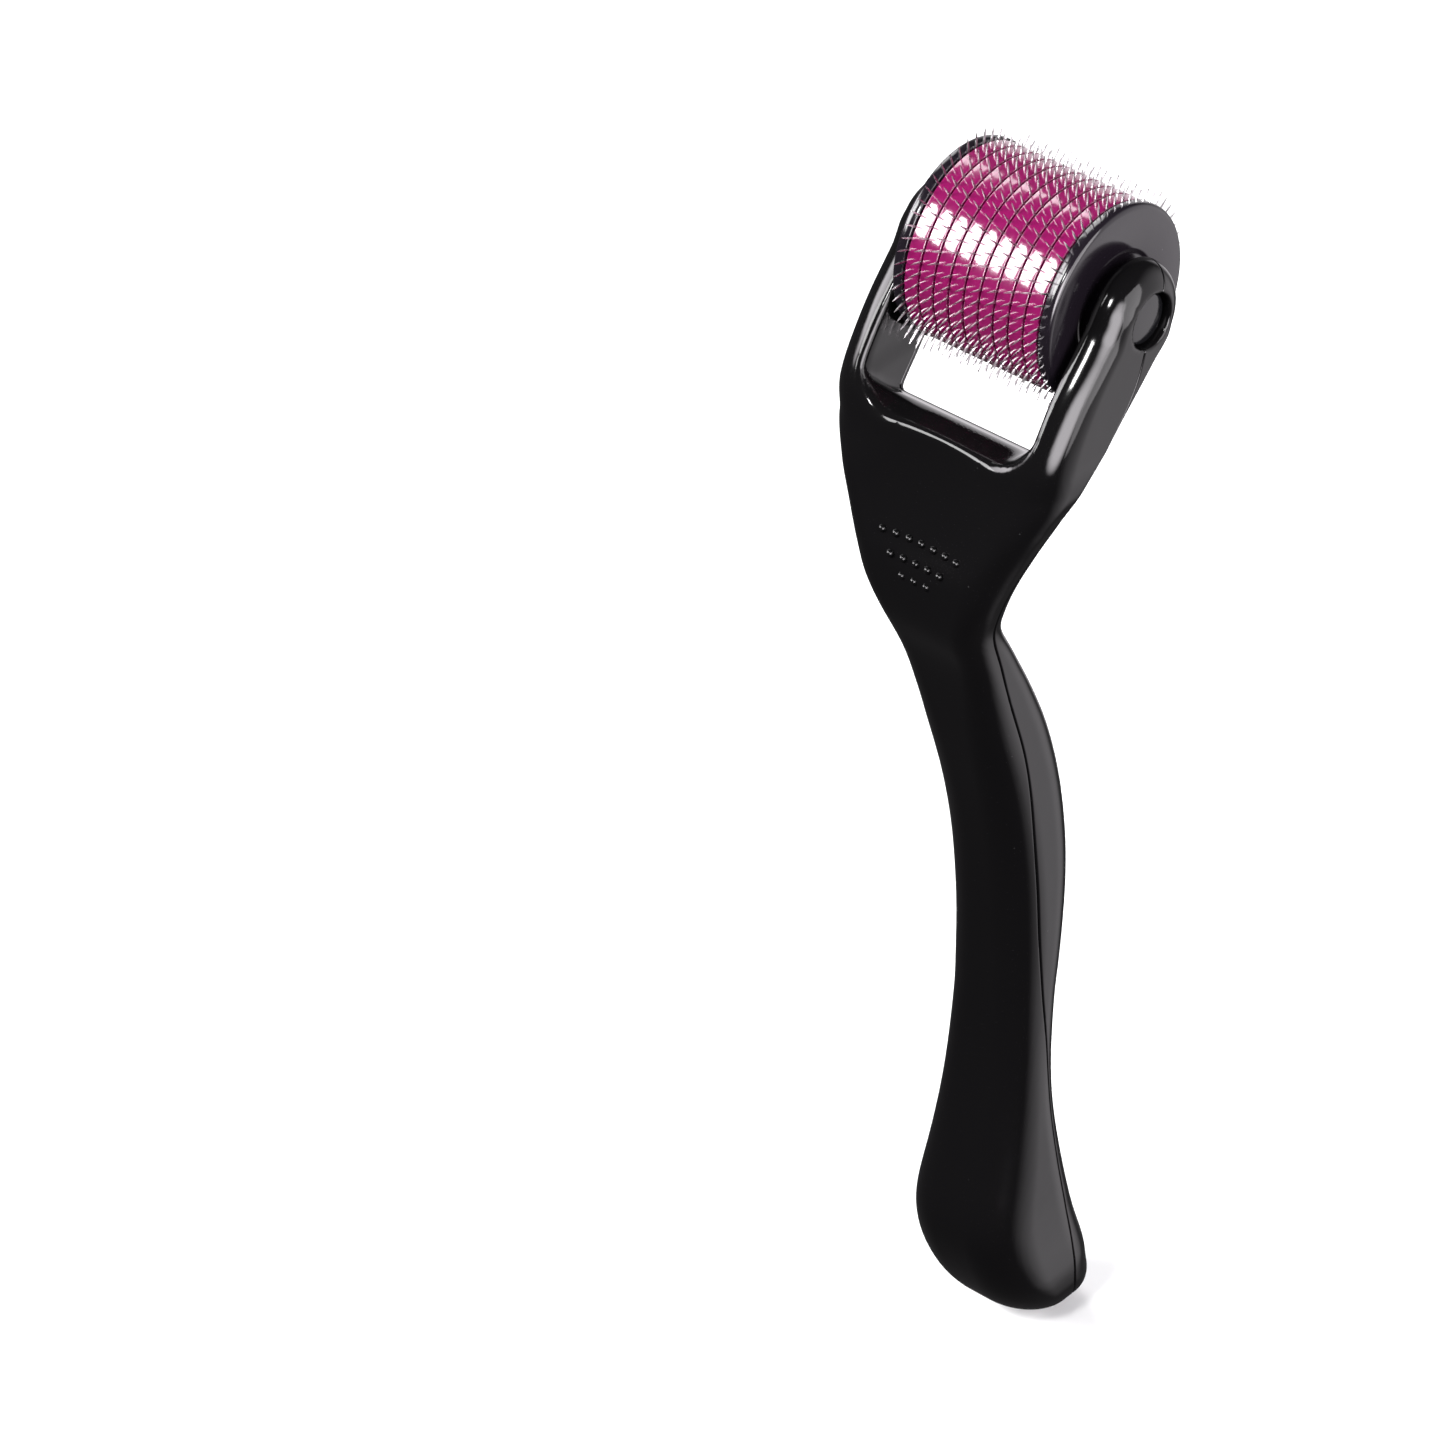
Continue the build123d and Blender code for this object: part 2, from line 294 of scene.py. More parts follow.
def handling_marks_group():
    """Faint smears and hairline scratches that moulded gloss plastic picks up in the hand."""
    group, nodes, links, given, out = new_group(
        "handling_marks",
        [("Clean Roughness", "NodeSocketFloat", 0.12), ("Smear Roughness", "NodeSocketFloat", 0.26),
         ("Smear Size", "NodeSocketFloat", 60.0), ("Hairlines", "NodeSocketFloat", 0.3)],
        [("Roughness", "NodeSocketFloat"), ("Marks", "NodeSocketFloat")])
    place = nodes.new("ShaderNodeTexCoord")
    smear = nodes.new("ShaderNodeTexNoise")
    smear.inputs["Detail"].default_value = 5
    smear.inputs["Distortion"].default_value = 0.6
    links.new(place.outputs["Object"], smear.inputs["Vector"])
    links.new(given.outputs["Smear Size"], smear.inputs["Scale"])
    band = nodes.new("ShaderNodeMapRange")
    band.interpolation_type = "SMOOTHSTEP"
    band.inputs["From Min"].default_value = 0.5
    band.inputs["From Max"].default_value = 0.72
    links.new(smear.outputs["Fac"], band.inputs["Value"])
    stretch = nodes.new("ShaderNodeMapping")
    stretch.inputs["Rotation"].default_value = (0.5, 0.3, 0.9)
    stretch.inputs["Scale"].default_value = (4000, 260, 90)
    links.new(place.outputs["Object"], stretch.inputs["Vector"])
    hair = nodes.new("ShaderNodeTexNoise")
    hair.inputs["Scale"].default_value = 1.0
    hair.inputs["Detail"].default_value = 3
    links.new(stretch.outputs["Vector"], hair.inputs["Vector"])
    fine = nodes.new("ShaderNodeMapRange")
    fine.inputs["From Min"].default_value = 0.66
    fine.inputs["From Max"].default_value = 0.74
    links.new(hair.outputs["Fac"], fine.inputs["Value"])
    weigh = nodes.new("ShaderNodeMath")
    weigh.operation = "MULTIPLY"
    links.new(fine.outputs["Result"], weigh.inputs[0])
    links.new(given.outputs["Hairlines"], weigh.inputs[1])
    total = nodes.new("ShaderNodeMath")
    total.operation = "MAXIMUM"
    links.new(band.outputs["Result"], total.inputs[0])
    links.new(weigh.outputs[0], total.inputs[1])
    spread = nodes.new("ShaderNodeMapRange")
    links.new(total.outputs[0], spread.inputs["Value"])
    links.new(given.outputs["Clean Roughness"], spread.inputs["To Min"])
    links.new(given.outputs["Smear Roughness"], spread.inputs["To Max"])
    links.new(spread.outputs["Result"], out.inputs["Roughness"])
    links.new(total.outputs[0], out.inputs["Marks"])
    return group


def mould_skin_group():
    """Slight waviness of a moulded skin, with sparse dust, as a height and a dust mask."""
    group, nodes, links, given, out = new_group(
        "mould_skin",
        [("Wave Size", "NodeSocketFloat", 350.0), ("Dust", "NodeSocketFloat", 0.5)],
        [("Height", "NodeSocketFloat"), ("Dust Mask", "NodeSocketFloat")])
    place = nodes.new("ShaderNodeTexCoord")
    wave = nodes.new("ShaderNodeTexNoise")
    wave.inputs["Detail"].default_value = 1.0
    links.new(place.outputs["Object"], wave.inputs["Vector"])
    links.new(given.outputs["Wave Size"], wave.inputs["Scale"])
    speck = nodes.new("ShaderNodeTexVoronoi")
    speck.inputs["Scale"].default_value = 900
    links.new(place.outputs["Object"], speck.inputs["Vector"])
    dot = nodes.new("ShaderNodeMapRange")
    dot.inputs["From Min"].default_value = 0.10
    dot.inputs["From Max"].default_value = 0.05
    links.new(speck.outputs["Distance"], dot.inputs["Value"])
    rare = nodes.new("ShaderNodeTexNoise")
    rare.inputs["Scale"].default_value = 420
    links.new(place.outputs["Object"], rare.inputs["Vector"])
    pick = nodes.new("ShaderNodeMapRange")
    pick.inputs["From Min"].default_value = 0.60
    pick.inputs["From Max"].default_value = 0.68
    links.new(rare.outputs["Fac"], pick.inputs["Value"])
    both = nodes.new("ShaderNodeMath")
    both.operation = "MULTIPLY"
    links.new(dot.outputs["Result"], both.inputs[0])
    links.new(pick.outputs["Result"], both.inputs[1])
    amount = nodes.new("ShaderNodeMath")
    amount.operation = "MULTIPLY"
    links.new(both.outputs[0], amount.inputs[0])
    links.new(given.outputs["Dust"], amount.inputs[1])
    links.new(wave.outputs["Fac"], out.inputs["Height"])
    links.new(amount.outputs[0], out.inputs["Dust Mask"])
    return group


MARKS, SKIN = handling_marks_group(), mould_skin_group()


def start_material(name):
    """A material that holds only a Principled shader and its output."""
    material = bpy.data.materials.new(name)
    material.use_nodes = True
    nodes, links = material.node_tree.nodes, material.node_tree.links
    nodes.clear()
    out = nodes.new("ShaderNodeOutputMaterial")
    shader = nodes.new("ShaderNodeBsdfPrincipled")
    links.new(shader.outputs["BSDF"], out.inputs["Surface"])
    return material, nodes, links, shader


def place_group(nodes, group, **values):
    """A shader group placed in a material, with its inputs set by name."""
    node = nodes.new("ShaderNodeGroup")
    node.node_tree = group
    for label, value in values.items():
        node.inputs[label.replace("_", " ")].default_value = value
    return node


def bump_from(nodes, links, height, shader, strength, distance):
    """Feeds a height to the shader's normal."""
    bump = nodes.new("ShaderNodeBump")
    bump.inputs["Strength"].default_value = strength
    bump.inputs["Distance"].default_value = distance
    links.new(height, bump.inputs["Height"])
    links.new(bump.outputs["Normal"], shader.inputs["Normal"])


def gloss_plastic(name, colour, dusty, clean, smear, gloss, wave, coat=0.0, dust=0.5):
    """Moulded gloss plastic: body colour with thin dust, smears in the gloss and a slight moulding wave."""
    material, nodes, links, shader = start_material(name)
    marks = place_group(nodes, MARKS, Clean_Roughness=clean, Smear_Roughness=smear)
    skin = place_group(nodes, SKIN, Dust=dust)
    mix = nodes.new("ShaderNodeMix")
    mix.data_type = "RGBA"
    mix.inputs["A"].default_value = (*colour, 1)
    mix.inputs["B"].default_value = (*dusty, 1)
    links.new(skin.outputs["Dust Mask"], mix.inputs["Factor"])
    links.new(mix.outputs["Result"], shader.inputs["Base Color"])
    links.new(marks.outputs["Roughness"], shader.inputs["Roughness"])
    bump_from(nodes, links, skin.outputs["Height"], shader, strength=wave, distance=0.0002)
    shader.inputs["Specular IOR Level"].default_value = gloss
    shader.inputs["Coat Weight"].default_value = coat
    shader.inputs["Coat Roughness"].default_value = 0.04
    return material, shader


def tinted_ring_material():
    """Tinted magenta plastic, which lets a little light through under a bright clear gloss."""
    material, shader = gloss_plastic(
        "tinted_magenta", colour=(0.17, 0.004, 0.064), dusty=(0.4, 0.2, 0.3),
        clean=0.12, smear=0.22, gloss=0.5, wave=0.12, coat=0.5, dust=0.3)
    shader.inputs["Subsurface Weight"].default_value = 0.12
    shader.inputs["Subsurface Radius"].default_value = (1.0, 0.15, 0.6)
    shader.inputs["Subsurface Scale"].default_value = 0.0015
    return material


# How much of its colour steel keeps in its darker patches
STEEL_SHADE = (0.72, 0.71, 0.72)


def steel_material(name, colour, rough_low, rough_high, grain):
    """Steel with a fine drawn grain and slight darkening in patches."""
    material, nodes, links, shader = start_material(name)
    place = nodes.new("ShaderNodeTexCoord")
    stretch = nodes.new("ShaderNodeMapping")
    stretch.inputs["Scale"].default_value = grain
    links.new(place.outputs["Object"], stretch.inputs["Vector"])
    lines = nodes.new("ShaderNodeTexNoise")
    lines.inputs["Scale"].default_value = 1.0
    lines.inputs["Detail"].default_value = 4
    links.new(stretch.outputs["Vector"], lines.inputs["Vector"])
    rough = nodes.new("ShaderNodeMapRange")
    rough.inputs["To Min"].default_value = rough_low
    rough.inputs["To Max"].default_value = rough_high
    links.new(lines.outputs["Fac"], rough.inputs["Value"])
    links.new(rough.outputs["Result"], shader.inputs["Roughness"])
    ramp = nodes.new("ShaderNodeValToRGB")
    ramp.color_ramp.elements[0].position = 0.3
    ramp.color_ramp.elements[0].color = (*(tint * share for tint, share in zip(colour, STEEL_SHADE)), 1)
    ramp.color_ramp.elements[1].position = 0.7
    ramp.color_ramp.elements[1].color = (*colour, 1)
    links.new(lines.outputs["Fac"], ramp.inputs["Fac"])
    links.new(ramp.outputs["Color"], shader.inputs["Base Color"])
    shader.inputs["Metallic"].default_value = 1.0
    bump_from(nodes, links, lines.outputs["Fac"], shader, strength=0.1, distance=0.00005)
    return material


HANDLE_BLACK, _ = gloss_plastic(
    "handle_gloss_black", colour=(0.0035, 0.0033, 0.0036), dusty=(0.05, 0.05, 0.05),
    clean=0.10, smear=0.17, gloss=0.2, wave=0.08)
CAP_BLACK, _ = gloss_plastic(
    "end_cap_black", colour=(0.008, 0.006, 0.009), dusty=(0.10, 0.09, 0.10),
    clean=0.14, smear=0.25, gloss=0.35, wave=0.08)
PLUG_BLACK, _ = gloss_plastic(
    "axle_plug_black", colour=(0.006, 0.006, 0.007), dusty=(0.08, 0.08, 0.08),
    clean=0.13, smear=0.22, gloss=0.3, wave=0.08)
RING_MAGENTA = tinted_ring_material()
HUB_MAGENTA, _ = gloss_plastic(
    "hub_deep_magenta", colour=(0.16, 0.008, 0.075), dusty=(0.3, 0.2, 0.25),
    clean=0.2, smear=0.35, gloss=0.5, wave=0.1)
NEEDLE_STEEL = steel_material(
    "etched_needle_steel", colour=(0.50, 0.48, 0.49), rough_low=0.2, rough_high=0.36, grain=(3000, 900, 900))
AXLE_STEEL = steel_material(
    "ground_axle_steel", colour=(0.62, 0.62, 0.63), rough_low=0.2, rough_high=0.35, grain=(200, 5000, 5000))


# ------------------------------------------------ handle shells

def drop(share):
    """Height at a share of the handle's length below the bridge."""
    return BRIDGE_Z - share * HANDLE_LENGTH


sections = [(t * BRIDGE_Z, t * BRIDGE_Y + front, t * BRIDGE_Y + back, HEAD_HALF, ARM_CORNER, ARM_FRONT_CORNER)
            for t, front, back in ARM_OUTLINE]
sections += [(drop(s), BRIDGE_Y + front, BRIDGE_Y + back, HEAD_HALF - inset, corner, front_corner)
             for s, front, back, inset, corner, front_corner in SHOULDER_OUTLINE]
sections += [(drop(s), BRIDGE_Y + front, BRIDGE_Y + back, half, corner, corner)
             for s, front, back, half, corner in GRIP_OUTLINE]
heights, fronts, backs, halves, corners, front_corners = zip(*sections)
front_at = curve_through(heights, fronts)
back_at = curve_through(heights, backs)
half_at = steady_curve(heights, halves)
corner_at = steady_curve(heights, corners)
front_corner_at = steady_curve(heights, front_corners)
seam = [(t * BRIDGE_Z, t * BRIDGE_Y + back) for t, back in ARM_PARTING]
seam += [(drop(s), BRIDGE_Y + y) for s, y in GRIP_PARTING]
seam_at = curve_through(*zip(*seam))
BOTTOM = heights[-1]
# The skin stays just behind the solid handle's foremost point.
FRONT_LIMIT = (cad_box[0][1] - AXLE_AT[1]) / MM + 3 * HAIR

dish_slant = (1 + DISH_TILT ** 2) ** 0.5
DISH_CENTRE = (0.0, BRIDGE_Y - DISH_FRONT - (DISH_RADIUS - DISH_DEPTH) / dish_slant,
               BRIDGE_Z - DISH_DROP + DISH_TILT * (DISH_RADIUS - DISH_DEPTH) / dish_slant)


def thumb_dish(x, y, z):
    """Distance to the ball that hollows the thumb rest."""
    return np.sqrt(x * x + (y - DISH_CENTRE[1]) ** 2 + (z - DISH_CENTRE[2]) ** 2) - DISH_RADIUS


def handle_field(x, y, z):
    """Signed distance, near enough, to the whole handle's surface."""
    front, back = np.maximum(front_at(z), FRONT_LIMIT), back_at(z)
    half, depth = half_at(z), (back - front) / 2
    middle = (front + back) / 2
    corner = np.where(y < middle, front_corner_at(z), corner_at(z))
    corner = np.minimum(corner, np.minimum(half, depth) * CORNER_SHARE)
    body = rounded_box(x, y - middle, half, depth, corner)
    above_axle = y * sin(radians(LEAN)) + z * cos(radians(LEAN))
    body = soft_cut(body, above_axle, TOP_BLEND)
    body = soft_cut(body, BOTTOM - z, TAIL_BLEND)
    from_axle = np.hypot(y, z)
    tips = rounded_box(from_axle, x, TIP_RADIUS, HEAD_HALF, TIP_EDGE)
    body = soft_join(body, tips, TIP_BLEND)
    window = rounded_box(x, z - (BRIDGE_Z + WINDOW_HALF_HEIGHT), FORK_HALF, WINDOW_HALF_HEIGHT, WINDOW_CORNER)
    body = soft_cut(body, -window, WINDOW_BLEND)
    scoop = rounded_box(from_axle, x, SCOOP_RADIUS, FORK_HALF, SCOOP_EDGE)
    body = soft_cut(body, -scoop, SCOOP_BLEND)
    body = soft_cut(body, -thumb_dish(x, y, z), DISH_BLEND)
    seat = np.maximum(from_axle - (PLUG_RADIUS + SEAT_GAP), (HEAD_HALF - PLUG_DEPTH) - np.abs(x))
    return np.maximum(soft_cut(body, -seat, SEAT_BLEND), np.abs(x) - HEAD_HALF)


def shell_field(side):
    """Front (-1) or back (+1) shell, in coordinates whose second one is measured from the parting line."""
    def field(x, v, z):
        handle = handle_field(x, v + seam_at(z), z)
        return soft_cut(handle + SKIN_INSET, HALF_SEAM - side * v, SEAM_BLEND)
    return field


def net_surface(field, xs, vs, zs):
    """Quad mesh of a field's zero surface: one point in each grid cell that the surface crosses, at the mean
    of the crossings on its edges, joined across each crossed edge, and then moved onto the surface."""
    gx, gv, gz = np.meshgrid(xs, vs, zs, indexing="ij")
    values = field(gx, gv, gz)
    inside = values < 0
    grid = np.stack([gx, gv, gz], -1)
    shape = tuple(n - 1 for n in values.shape)
    total, count = np.zeros(shape + (3,)), np.zeros(shape)
    crossings = []
    for axis in range(3):
        here = [slice(None)] * 3
        there = [slice(None)] * 3
        here[axis], there[axis] = slice(None, -1), slice(1, None)
        here, there = tuple(here), tuple(there)
        cross = inside[here] != inside[there]
        at = np.argwhere(cross)
        f0, f1 = values[here][cross], values[there][cross]
        spot = grid[here][cross] + (f0 / (f0 - f1))[:, None] * (grid[there][cross] - grid[here][cross])
        crossings.append((axis, at, inside[here][cross]))
        others = [k for k in range(3) if k != axis]
        for da in (0, -1):
            for db in (0, -1):
                cell = at.copy()
                cell[:, others[0]] += da
                cell[:, others[1]] += db
                good = ((cell >= 0) & (cell < np.array(shape))).all(1)
                cell = cell[good]
                np.add.at(total, tuple(cell.T), spot[good])
                np.add.at(count, tuple(cell.T), 1)
    used = count > 0
    number = -np.ones(shape, int)
    number[used] = np.arange(used.sum())
    points = total[used] / count[used][:, None]
    faces = []
    for axis, at, starts_inside in crossings:
        b, c = [(1, 2), (2, 0), (0, 1)][axis]
        corners = []
        for db, dc in ((0, 0), (-1, 0), (-1, -1), (0, -1)):
            cell = at.copy()
            cell[:, b] += db
            cell[:, c] += dc
            corners.append(cell)
        good = np.all([((q >= 0) & (q < np.array(shape))).all(1) for q in corners], axis=0)
        quad = np.stack([number[tuple(q[good].T)] for q in corners], 1)
        flip = ~starts_inside[good]
        quad[flip] = quad[flip][:, ::-1]
        faces.append(quad)
    probe, least_slope, longest_move = 1e-3, 0.2, 0.3
    for _ in range(4):
        distance = field(*points.T)
        slope = np.stack([(field(*(points + probe * e).T) - field(*(points - probe * e).T)) / (2 * probe)
                          for e in np.eye(3)], 1)
        move = -(distance / np.maximum((slope ** 2).sum(1), least_slope))[:, None] * slope
        points = points + np.clip(move, -longest_move, longest_move)
    return points, np.concatenate(faces)


def dome(x, y, z, sides=16, rings=5):
    """Points and faces of one bump: a little more than half a ball, bulging to the front, closed behind."""
    points = [(x, y - BUMP_RADIUS, z)]
    for ring in range(1, rings + 1):
        a = radians(18 * ring + 6)
        for k in range(sides):
            b = 2 * pi * k / sides
            points.append((x + BUMP_RADIUS * sin(a) * cos(b), y - BUMP_RADIUS * cos(a),
                           z + BUMP_RADIUS * sin(a) * sin(b)))
    faces = [(0, 1 + k, 1 + (k + 1) % sides) for k in range(sides)]
    for ring in range(rings - 1):
        base = 1 + sides * ring
        faces += [(base + k, base + sides + k, base + sides + (k + 1) % sides, base + (k + 1) % sides)
                  for k in range(sides)]
    last = 1 + sides * (rings - 1)
    faces.append(tuple(last + k for k in reversed(range(sides))))
    return points, faces


def grip_bumps():
    """The small raised dots of the thumb rest, standing on the dish."""
    points, faces = [], []
    for row, count in enumerate(BUMP_ROWS):
        for i in range(count):
            x = (i - (count - 1) / 2) * BUMP_PITCH
            z = BRIDGE_Z - BUMP_DROP - row * BUMP_ROW_PITCH
            dish_y = DISH_CENTRE[1] + (DISH_RADIUS ** 2 - x ** 2 - (z - DISH_CENTRE[2]) ** 2) ** 0.5
            y = max(float(front_at(z)), dish_y, FRONT_LIMIT + BUMP_RADIUS)
            start = len(points)
            more_points, more_faces = dome(x, y, z)
            points += more_points
            faces += [tuple(start + k for k in f) for f in more_faces]
    return points, faces


# Grid of the shells' meshes: finest at the parting line, fine at the fork and the tail, coarser on the grip.
GRID_X = np.arange(-16.05, 16.06, 0.3)
GRID_Z = np.concatenate([np.arange(-140.7, -132, 0.45), np.arange(-132, -38, 0.8), np.arange(-38, 7.6, 0.3)])
GRID_FRONT = np.concatenate([np.arange(-14.0, -0.6, 0.3), np.arange(-0.5, 0.21, 0.1)])
GRID_BACK = np.concatenate([np.arange(-0.2, 0.51, 0.1), np.arange(0.8, 10.4, 0.3)])


def build_shells():
    """The handle's two shells, with the bumps on the front one."""
    for name, side, depths in (("front_shell", -1, GRID_FRONT), ("back_shell", 1, GRID_BACK)):
        points, faces = net_surface(shell_field(side), GRID_X, depths, GRID_Z)
        points[:, 1] += seam_at(points[:, 2])
        points, faces = points.tolist(), [tuple(f) for f in faces.tolist()]
        if side < 0:
            more_points, more_faces = grip_bumps()
            start = len(points)
            points += more_points
            faces += [tuple(start + k for k in f) for f in more_faces]
        shell = make_object(name + "_skin", points, faces, "handle", HANDLE_BLACK)
        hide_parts(name)


# ------------------------------------------------ drum

def build_rings():
    """Tinted rings between the discs, with small rounded rims that leave a dark line at each disc."""
    half, inner, crown = (DISC_PITCH - DISC_THICKNESS) / 2, HUB_RADIUS + RING_BORE_GAP, 0.3
    for i in range(DISC_COUNT - 1):
        mid = (i - (DISC_COUNT - 2) / 2) * DISC_PITCH
        right, left = mid + half, mid - half
        profile = [(left, inner), (right, inner)]
        profile += rounded_corner(right - RING_EDGE, DRUM_RADIUS - RING_EDGE, RING_EDGE, 0)
        profile += [(mid + crown, DRUM_RADIUS), (mid - crown, DRUM_RADIUS)]
        profile += rounded_corner(left + RING_EDGE, DRUM_RADIUS - RING_EDGE, RING_EDGE, 90)
        points, faces = turned(profile, 180)
        ring = make_object(f"tinted_ring_{i + 1}", points, turned_over(faces), "drum",
                           RING_MAGENTA)
        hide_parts(f"spacer_ring_{i + 1}")


def build_needle_disc(index):
    """One etched disc: a thin plate and its needles, which taper and thin towards their points."""
    middle_x = (index - (DISC_COUNT - 1) / 2) * DISC_PITCH
    shift = 0.5 * (index % 2)
    half = DISC_THICKNESS / 2
    inner, rim = HUB_RADIUS + DISC_BORE_GAP, DRUM_RADIUS - DISC_RIM_SINK
    left, right = middle_x - half, middle_x + half
    profile = [(left, inner), (right, inner), (right, rim), (left, rim)]
    points, faces = turned(profile, 2 * NEEDLES_PER_DISC)
    faces = turned_over(faces)
    for i in range(NEEDLES_PER_DISC):
        a = (i + shift) * 2 * pi / NEEDLES_PER_DISC
        outwards = Vector((0, cos(a), sin(a)))
        across = Vector((0, -sin(a), cos(a)))
        start = len(points)
        for beyond, half_width, share in NEEDLE_SECTIONS:
            for side, way in ((-1, -1), (1, -1), (1, 1), (-1, 1)):
                corner = outwards * (DRUM_RADIUS + beyond) + across * (way * half_width)
                points.append(tuple(corner + Vector((middle_x + side * half * share, 0, 0))))
        for ring in range(len(NEEDLE_SECTIONS) - 1):
            base = start + 4 * ring
            faces += [(base + k, base + (k + 1) % 4, base + 4 + (k + 1) % 4, base + 4 + k) for k in range(4)]
        faces.append(tuple(range(len(points) - 4, len(points))))
    name = f"needle_disc_{index + 1:02d}"
    disc = make_object(name + "_etched", points, faces, "drum", NEEDLE_STEEL, smooth=False)
    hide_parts(name)


def build_end_caps():
    """Gloss end caps with a rounded rim, a shallow dished face and a boss that reaches towards the arm."""
    outer, inner = DRUM_HALF, STACK_HALF + HAIR
    floor, boss = outer - END_CAP_RECESS, FORK_HALF - THRUST_GAP
    outline = [(inner, END_CAP_BORE), (inner, HUB_RADIUS), (inner, END_CAP_RADIUS - END_CAP_INNER_EDGE),
               (inner + END_CAP_INNER_EDGE, END_CAP_RADIUS)]
    outline += reversed(rounded_corner(outer - END_CAP_RIM, END_CAP_RADIUS - END_CAP_RIM, END_CAP_RIM, 0, 7))
    outline += [(outer, 6.35), (outer - 0.06, 6.1), (floor + 0.04, 5.95), (floor, 5.6), (floor, 3.2),
                (floor + 0.05, 2.8), (boss - 0.07, 2.75), (boss, 2.65), (boss, END_CAP_BORE)]
    for name, side in (("end_cap_right", 1), ("end_cap_left", -1)):
        points, faces = turned([(side * x, r) for x, r in outline], 144)
        if side < 0:
            faces = turned_over(faces)
        cap = make_object(name + "_turned", points, faces, "drum", CAP_BLACK)
        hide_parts(name)


def build_plugs():
    """Round axle plugs, slightly domed, sunk in the arms' outer faces."""
    face, back, radius = HEAD_HALF - PLUG_RECESS, HEAD_HALF - PLUG_DEPTH + 2 * HAIR, PLUG_RADIUS - PLUG_GAP
    outline = [(back, 0), (back, radius), (face - 0.4, radius)]
    outline += reversed(rounded_corner(face - 0.42, radius - PLUG_EDGE, PLUG_EDGE, 0))
    outline += [(face - 0.06, 2.0), (face - 0.03, 1.2), (face - 0.02, 0)]
    for name, side in (("axle_plug_right", 1), ("axle_plug_left", -1)):
        points, faces = turned_disc([(side * x, r) for x, r in outline], 96)
        if side < 0:
            faces = turned_over(faces)
        plug = make_object(name + "_domed", points, faces, "handle", PLUG_BLACK)
        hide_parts(name)


def finish_kept_node(name, material):
    """Gives a piece that keeps its own mesh its material."""
    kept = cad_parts[name].data
    kept.materials.clear()
    kept.materials.append(material)


build_shells()
build_rings()
for number in range(DISC_COUNT):
    build_needle_disc(number)
build_end_caps()
build_plugs()
finish_kept_node("axle", AXLE_STEEL)
finish_kept_node("drum_hub", HUB_MAGENTA)


# ------------------------------------------------ floor, light and camera

AIM = Vector((0, 0, 0.05))
# Lights, in metres: name, place, size, watts and colour.
LIGHTS = (("band_softbox", (-0.54, -0.70, 0.62), (0.34, 0.56), 17, (1, 1, 1)),
          ("side_softbox", (1.15, 0.05, 0.45), (0.9, 1.1), 24, (1.0, 0.97, 1.0)),
          ("left_panel", (-0.9, 0.45, 0.7), (0.5, 0.8), 9, (1, 1, 1)),
          ("front_pin", (0.15, -0.7, 0.75), (0.12, 0.12), 6, (1, 1, 1)))
# What gloss mirrors besides: towards each wall, the cosines where it starts and is full, and its strength.
DIM_ROOM = 0.06
SOFT_WALLS = (((0.75, 0.62, -0.1), 0.5, 0.95, 1.9), ((-0.52, 0.82, -0.15), 0.86, 0.97, 1.1),
              ((-0.82, -0.42, 0.38), 0.94, 0.985, 20.0), ((0.76, -0.60, 0.25), 0.90, 0.99, 26.0))
FLOOR_HALF = 3
FLOOR_GAP = 0.001
# Camera: degrees round and above the roller, metres away and aside, and millimetres of lens and sensor.
CAMERA_TURN = 40.5
CAMERA_RISE = 36.3
CAMERA_AWAY = 0.9336
CAMERA_LEFT = 0.03261
CAMERA_DOWN = 0.04705
CAMERA_LENS = 224.22
CAMERA_SENSOR = 36


def build_floor():
    """Plain pale floor under the tail, which the roller neither mirrors nor takes light from."""
    mesh = bpy.data.meshes.new("pale_floor")
    corners = [(x * FLOOR_HALF, y * FLOOR_HALF, 0) for x, y in ((-1, -1), (1, -1), (1, 1), (-1, 1))]
    mesh.from_pydata(corners, [], [(0, 1, 2, 3)])
    floor = bpy.data.objects.new("pale_floor", mesh)
    floor.location = (0, 0, cad_box[0][2] - FLOOR_GAP)
    bpy.context.scene.collection.objects.link(floor)
    material, _, _, shader = start_material("pale_floor_paint")
    shader.inputs["Base Color"].default_value = (0.86, 0.86, 0.86, 1)
    shader.inputs["Roughness"].default_value = 0.6
    mesh.materials.append(material)
    floor.visible_glossy = False
    floor.visible_diffuse = False


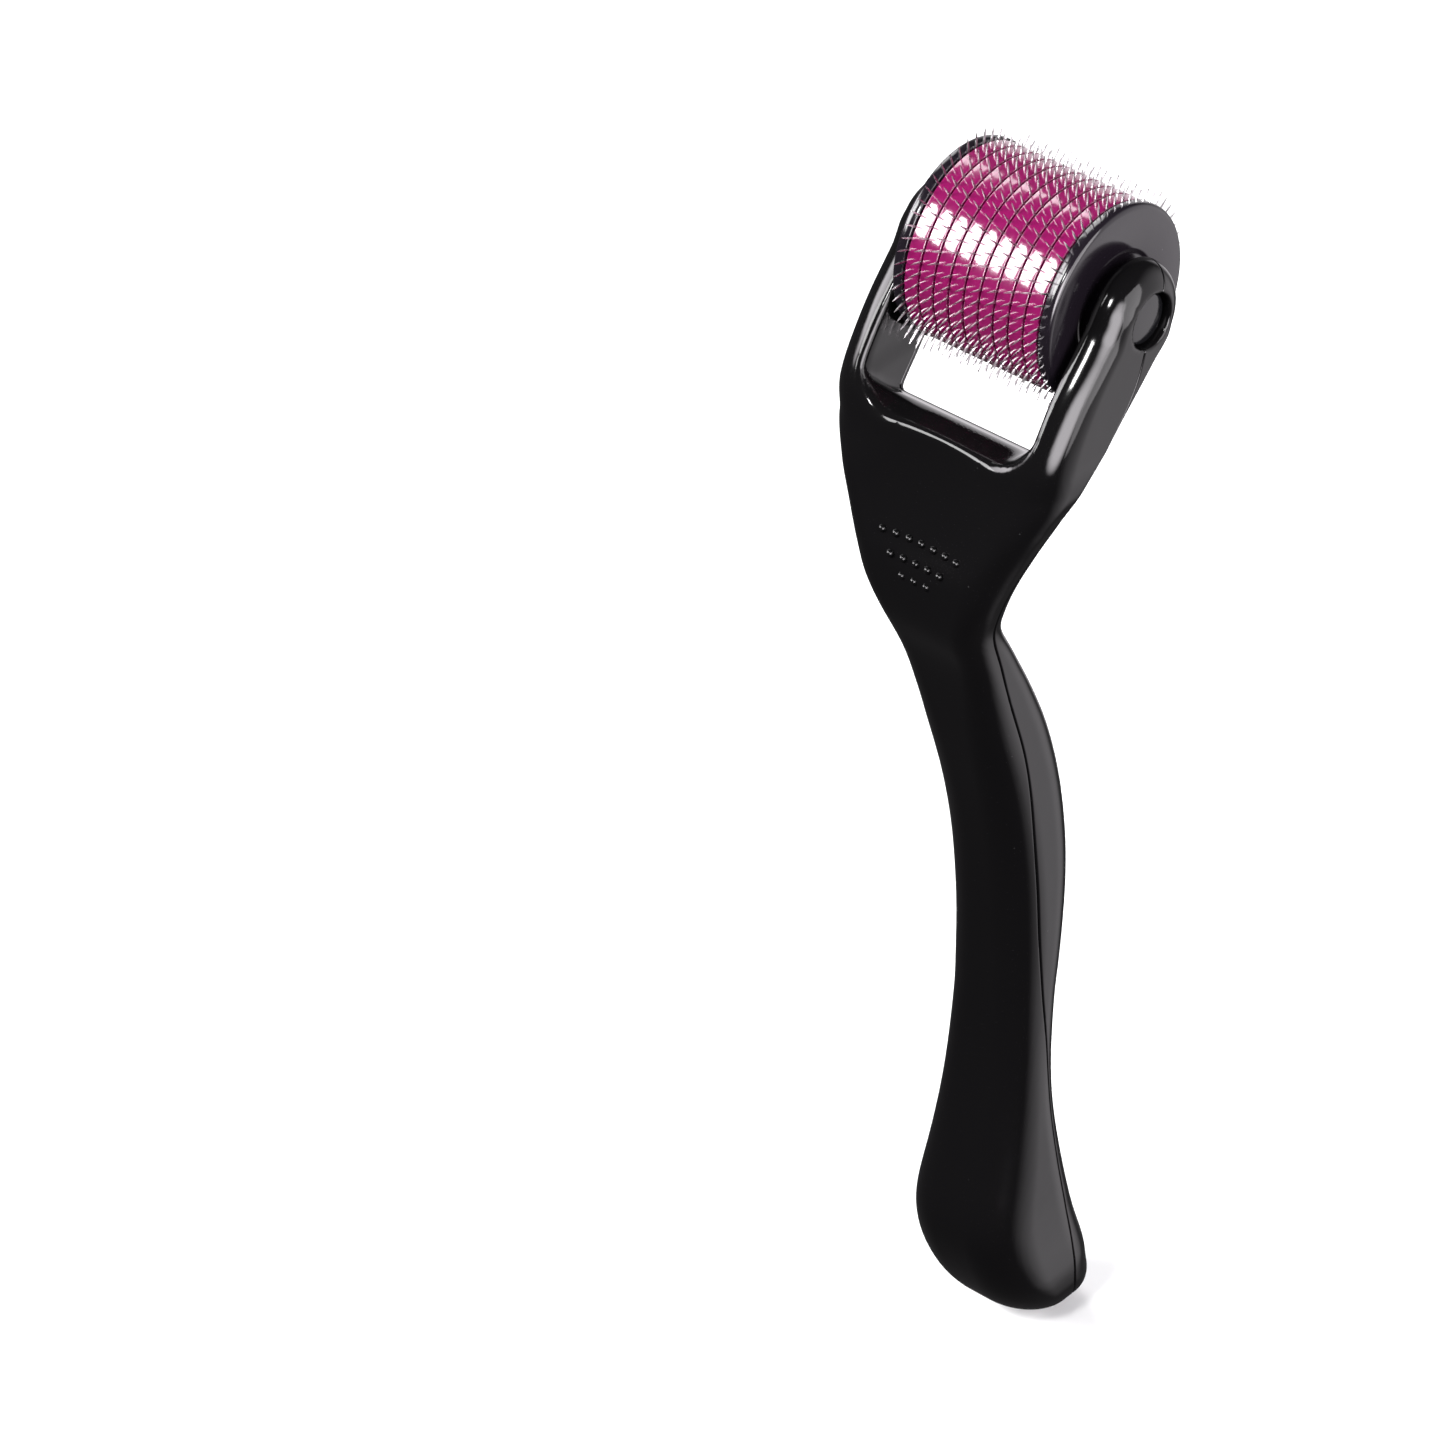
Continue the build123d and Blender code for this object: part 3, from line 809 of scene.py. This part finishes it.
def build_surroundings():
    """Even pale air, and for reflections a dim room with a few soft pale walls."""
    world = bpy.data.worlds.new("studio_air")
    world.use_nodes = True
    nodes, links = world.node_tree.nodes, world.node_tree.links
    air = nodes["Background"]
    air.inputs["Color"].default_value = (0.95, 0.96, 1.0, 1)
    air.inputs["Strength"].default_value = 0.35
    direction = nodes.new("ShaderNodeTexCoord").outputs["Generated"]
    total = None
    for towards, edge, full, strength in SOFT_WALLS:
        facing = nodes.new("ShaderNodeVectorMath")
        facing.operation = "DOT_PRODUCT"
        links.new(direction, facing.inputs[0])
        facing.inputs[1].default_value = Vector(towards).normalized()
        wall = nodes.new("ShaderNodeMapRange")
        wall.interpolation_type = "SMOOTHSTEP"
        wall.inputs["From Min"].default_value = edge
        wall.inputs["From Max"].default_value = full
        wall.inputs["To Min"].default_value = 0.0 if total else DIM_ROOM
        wall.inputs["To Max"].default_value = strength
        links.new(facing.outputs["Value"], wall.inputs["Value"])
        if total:
            add = nodes.new("ShaderNodeMath")
            links.new(total, add.inputs[0])
            links.new(wall.outputs["Result"], add.inputs[1])
            total = add.outputs[0]
        else:
            total = wall.outputs["Result"]
    room = nodes.new("ShaderNodeBackground")
    links.new(total, room.inputs["Strength"])
    room.inputs["Color"].default_value = (1.0, 0.96, 1.0, 1)
    rays = nodes.new("ShaderNodeLightPath")
    mix = nodes.new("ShaderNodeMixShader")
    links.new(rays.outputs["Is Glossy Ray"], mix.inputs[0])
    links.new(air.outputs[0], mix.inputs[1])
    links.new(room.outputs[0], mix.inputs[2])
    links.new(mix.outputs[0], nodes["World Output"].inputs["Surface"])
    bpy.context.scene.world = world


def build_light(name, place, size, power, colour):
    """A rectangular light that faces the roller and isn't seen itself."""
    light = bpy.data.lights.new(name, "AREA")
    light.shape = "RECTANGLE"
    light.size, light.size_y = size
    light.energy = power
    light.color = colour
    lamp = bpy.data.objects.new(name, light)
    lamp.location = place
    lamp.rotation_euler = (AIM - Vector(place)).to_track_quat("-Z", "Y").to_euler()
    lamp.visible_camera = False
    bpy.context.scene.collection.objects.link(lamp)


def build_camera():
    """The camera, placed from the axle's middle."""
    turn, rise = radians(CAMERA_TURN), radians(CAMERA_RISE)
    back = Vector((sin(turn) * cos(rise), -cos(turn) * cos(rise), sin(rise)))
    right = Vector((cos(turn), sin(turn), 0))
    up = back.cross(right)
    place = AXLE_AT + back * CAMERA_AWAY - right * CAMERA_LEFT - up * CAMERA_DOWN
    camera = bpy.data.cameras.new("camera")
    camera.sensor_width = CAMERA_SENSOR
    camera.lens = CAMERA_LENS
    camera.clip_start = 0.01
    stand = bpy.data.objects.new("camera", camera)
    stand.matrix_world = Matrix.Translation(place) @ Matrix((right, up, back)).transposed().to_4x4()
    bpy.context.scene.collection.objects.link(stand)
    bpy.context.scene.camera = stand


build_floor()
for settings in LIGHTS:
    build_light(*settings)
build_surroundings()
bpy.context.scene.view_settings.view_transform = "Standard"
build_camera()
